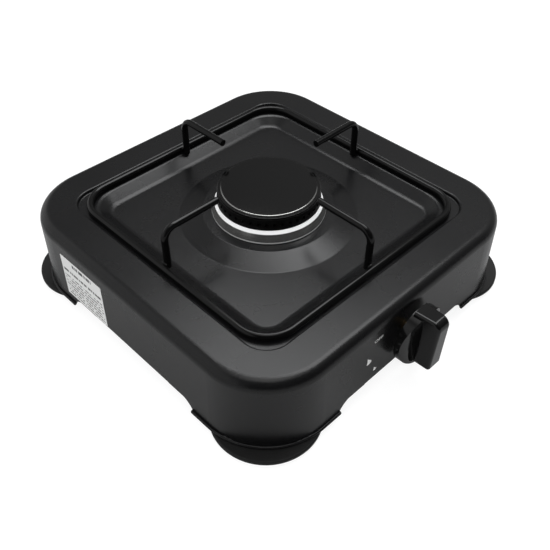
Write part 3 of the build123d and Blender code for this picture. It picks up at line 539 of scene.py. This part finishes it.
def rounded(corners):
    """Outline in metres. Each corner is given as millimetres across, millimetres up and the radius of an arc
    that cuts the corner off and touches both of its sides, or 0 where the corner stays sharp."""
    points = []
    for number, (*place, radius) in enumerate(corners):
        corner = np.array(place)
        if radius == 0:
            points.append(corner)
            continue
        before = np.array(corners[number - 1][:2]) - corner
        after = np.array(corners[(number + 1) % len(corners)][:2]) - corner
        before /= np.linalg.norm(before)
        after /= np.linalg.norm(after)
        half_angle = np.arccos(np.clip(before @ after, -1, 1)) / 2
        inward = (before + after) / np.linalg.norm(before + after)
        middle = corner + inward * radius / sin(half_angle)
        start = corner + before * radius / np.tan(half_angle) - middle
        end = corner + after * radius / np.tan(half_angle) - middle
        share = np.linspace(0, 1, ARC_STEPS)[:, None]
        swing = start * (1 - share) + end * share
        points.extend(middle + swing / np.linalg.norm(swing, axis=1)[:, None] * radius)
    return np.array(points) * MM


def turned(outline, closed):
    """Vertices and faces of a surface turned round the Z axis. Point (i, j) of its grid is
    (r cos a, r sin a, z), with r and z from place i of the outline and a from turn j. The outline runs
    anticlockwise where r is to the right and z is up. It is a closed loop, or it starts and ends on the axis,
    where a fan of triangles closes the surface."""
    rows = outline if closed else outline[1:-1]
    angle = np.linspace(0, 2 * pi, TURNS, endpoint=False)
    radius, height = rows[:, :1], rows[:, 1:]
    grid = np.stack([radius * np.cos(angle), radius * np.sin(angle), height + 0 * angle], axis=-1)
    points = grid.reshape(-1, 3)
    band_count = len(rows) if closed else len(rows) - 1
    row, turn = np.meshgrid(np.arange(band_count), np.arange(TURNS), indexing="ij")
    start, next_start = row * TURNS, (row + 1) % len(rows) * TURNS
    next_turn = (turn + 1) % TURNS
    corners = [start + turn, start + next_turn, next_start + next_turn, next_start + turn]
    faces = np.stack(corners, axis=-1).reshape(-1, 4).tolist()
    if closed:
        return points, faces
    turns = np.arange(TURNS)
    onward = (turns + 1) % TURNS
    last = band_count * TURNS
    pole = np.full(TURNS, len(points))
    faces += np.stack([pole, onward, turns], axis=-1).tolist()
    faces += np.stack([pole + 1, last + turns, last + onward], axis=-1).tolist()
    tips = [(0, 0, outline[0, 1]), (0, 0, outline[-1, 1])]
    return np.concatenate([points, tips]), faces


def new_piece(name, vertices, faces, finish, body):
    """Smooth mesh piece that rides on a body and takes its finish from the slot of the same name."""
    mesh = bpy.data.meshes.new(name)
    mesh.from_pydata(vertices.tolist(), [], faces)
    mesh.materials.append(FINISHES[finish])
    mesh.validate()
    mesh.shade_smooth()
    piece = bpy.data.objects.new(name, mesh)
    bpy.context.scene.collection.objects.link(piece)
    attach(piece, body)
    return piece


# ---------------------------------------------------------------- burner, mm
CAP_RADIUS = 40.0
CAP_TOP_RADIUS = 37.9
CAP_TOP = 91.3
CAP_STEP = 90.3
CAP_FOOT = 89.3
CAP_EDGE_ROUND = 0.25
CAP_STEP_ROUND = 0.1
CAP_TOP_ROUND = 0.7
RIB_INNER = 32.4
RIB_OUTER = 34.9
RIB_FOOT = 87.3
RIB_ROUND = 0.3

# Radius and height of each corner of the cup, and its round
CUP_TOP = (41.3, 79.4)
CUP_TOP_ROUND = 0.2
CUP_SHOULDER = (43.0, 77.3)
CUP_SHOULDER_ROUND = 0.25
CUP_FOOT = (45.45, 70.7)
CUP_FOOT_ROUND = 0.35
CUP_BASE = 69.8
CUP_BASE_ROUND = 0.3
CUP_SKIN = 1.0  # thickness of the skin


def make_cap():
    """Burner cap with a rib below, a flat step round its edge and a round upper edge."""
    corners = [
        (0, CAP_FOOT, 0),
        (RIB_INNER, CAP_FOOT, 0),
        (RIB_INNER, RIB_FOOT, RIB_ROUND),
        (RIB_OUTER, RIB_FOOT, RIB_ROUND),
        (RIB_OUTER, CAP_FOOT, 0),
        (CAP_RADIUS, CAP_FOOT, CAP_EDGE_ROUND),
        (CAP_RADIUS, CAP_STEP, CAP_EDGE_ROUND),
        (CAP_TOP_RADIUS, CAP_STEP, CAP_STEP_ROUND),
        (CAP_TOP_RADIUS, CAP_TOP, CAP_TOP_ROUND),
        (0, CAP_TOP, 0),
    ]
    piece = new_piece("burner_cap_turned", *turned(rounded(corners), False), "cap_black", "cap")
    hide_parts("burner_cap")


def make_cup_skin():
    """Machined skin of the burner cup: a chamfer under the crown painted pale as a highlight, a turned side
    and a thin foot.
    """
    (top_r, top_z), (shoulder_r, shoulder_z), (foot_r, foot_z) = CUP_TOP, CUP_SHOULDER, CUP_FOOT
    corners = [
        (foot_r - CUP_SKIN, CUP_BASE, 0),
        (foot_r, CUP_BASE, CUP_BASE_ROUND),
        (foot_r, foot_z, CUP_FOOT_ROUND),
        (shoulder_r, shoulder_z, CUP_SHOULDER_ROUND),
        (top_r, top_z, CUP_TOP_ROUND),
        (top_r - CUP_SKIN, top_z, 0),
        (shoulder_r - 2 * CUP_SKIN, shoulder_z, 0),
    ]
    new_piece("burner_cup_skin", *turned(rounded(corners), True), "cup_aluminium", "stove")


def make_spring():
    """The valve's return spring as a mesh of its own on the stove's body, in place of its CAD node."""
    coil = frame["nodes"]["valve_spring"]
    mesh = coil.data.copy()
    mesh.transform(coil.matrix_world)
    spring = bpy.data.objects.new("valve_spring_coil", mesh)
    bpy.context.scene.collection.objects.link(spring)
    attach(spring, "stove")
    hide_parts("valve_spring")
    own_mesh(spring)


# ---------------------------------------------------------------- trivet, mm
BEAD_SIZE = (1.5, 3.2, 1.5)  # half lengths across, along and up
BEAD_REACH = 104.5  # from the burner's axis
BEAD_HEIGHT = 75.6
BEAD_STEPS = 18  # points from pole to pole
FINGER_COUNT = 4


def make_weld_beads():
    """A weld bead in the groove between the ring wire and each finger's post: a half circle turned round the
    Z axis, stretched to an ellipsoid that is longest along the wire, turned to its side and moved there."""
    swing = np.linspace(-pi / 2, pi / 2, BEAD_STEPS)
    ball, faces = turned(np.stack([np.cos(swing), np.sin(swing)], axis=-1), False)
    for side in range(FINGER_COUNT):
        angle = 2 * pi * side / FINGER_COUNT
        outward = np.array([cos(angle), sin(angle), 0])
        along = np.array([-sin(angle), cos(angle), 0])
        upward = np.array([0, 0, 1])
        bead = ball * BEAD_SIZE @ np.stack([outward, along, upward])
        middle = outward * BEAD_REACH + upward * BEAD_HEIGHT
        new_piece(f"weld_bead_{side}", (bead + middle) * MM, faces, "wire_black", "trivet")


# ---------------------------------------------------------------- marks by the knob, mm
SKIRT_HALF = 145.0  # at the skirt's foot
SKIRT_FOOT = 18.0
SKIRT_LEAN = 0.02095  # inwards for each millimetre up
PRINT_RISE = 0.05  # how far the print stands off the skirt
OFF_SIZE = 3.8
OFF_STRETCH = 1.4
OFF_PLACE = (-36.0, 57.0)  # x and height
FLAMES = {  # width, height, and place as x and height
    "flame_large": (4.2, 7.4, (-45.0, 41.5)),
    "flame_small": (2.8, 4.4, (-37.0, 27.5)),
}
FLAME_STEPS = 48  # points round a flame
FLAME_FULLNESS = 0.95
FLAME_TAPER = 1.3
FLAME_SWAY = 0.22  # share of its width
FLAME_SWAY_LENGTH = 1.7  # half waves from foot to tip


def on_skirt(flat, middle_x, middle_z):
    """Flat points, millimetres across and up, laid just proud of the leaning front of the skirt."""
    x = middle_x + flat[:, 0]
    z = middle_z + flat[:, 1]
    y = (z - SKIRT_FOOT) * SKIRT_LEAN - SKIRT_HALF - PRINT_RISE
    return np.stack([x, y, z], axis=-1) * MM


def make_off_mark():
    """The word OFF, from a text curve made into a mesh."""
    curve = bpy.data.curves.new("off_text", "FONT")
    curve.body = "OFF"
    curve.size = OFF_SIZE
    curve.align_x = "CENTER"
    curve.align_y = "CENTER"
    holder = bpy.data.objects.new("off_text", curve)
    bpy.context.scene.collection.objects.link(holder)
    mesh = bpy.data.meshes.new_from_object(holder.evaluated_get(bpy.context.evaluated_depsgraph_get()))
    points = np.empty(3 * len(mesh.vertices))
    mesh.vertices.foreach_get("co", points)
    faces = [list(polygon.vertices) for polygon in mesh.polygons]
    bpy.data.objects.remove(holder)
    bpy.data.curves.remove(curve)
    bpy.data.meshes.remove(mesh)
    flat = points.reshape(-1, 3)[:, :2] * (OFF_STRETCH, 1)
    new_piece("off_mark", on_skirt(flat, *OFF_PLACE), faces, "label_paper", "stove")


def make_flame(name, width, height, place):
    """Flame outline: as t goes once round, the share of the height is (1 - cos t) / 2, and the width follows
    sin t, narrows to the tip by a power of what is left of the height and sways by a sine of the height."""
    t = np.linspace(0, 2 * pi, FLAME_STEPS, endpoint=False)
    share = (1 - np.cos(t)) / 2
    body = FLAME_FULLNESS * np.sin(t) * (1 - share) ** FLAME_TAPER
    sway = FLAME_SWAY * np.sin(FLAME_SWAY_LENGTH * pi * share)
    flat = np.stack([width * (body + sway), height * (share - 0.5)], axis=-1)
    new_piece(name, on_skirt(flat, *place), [list(range(FLAME_STEPS))], "label_paper", "stove")


# ---------------------------------------------------------------- everything
make_camera()
make_studio()
dress_nodes()
make_cap()
make_cup_skin()
make_spring()
make_weld_beads()
make_off_mark()
for flame_name, flame_sizes in FLAMES.items():
    make_flame(flame_name, *flame_sizes)
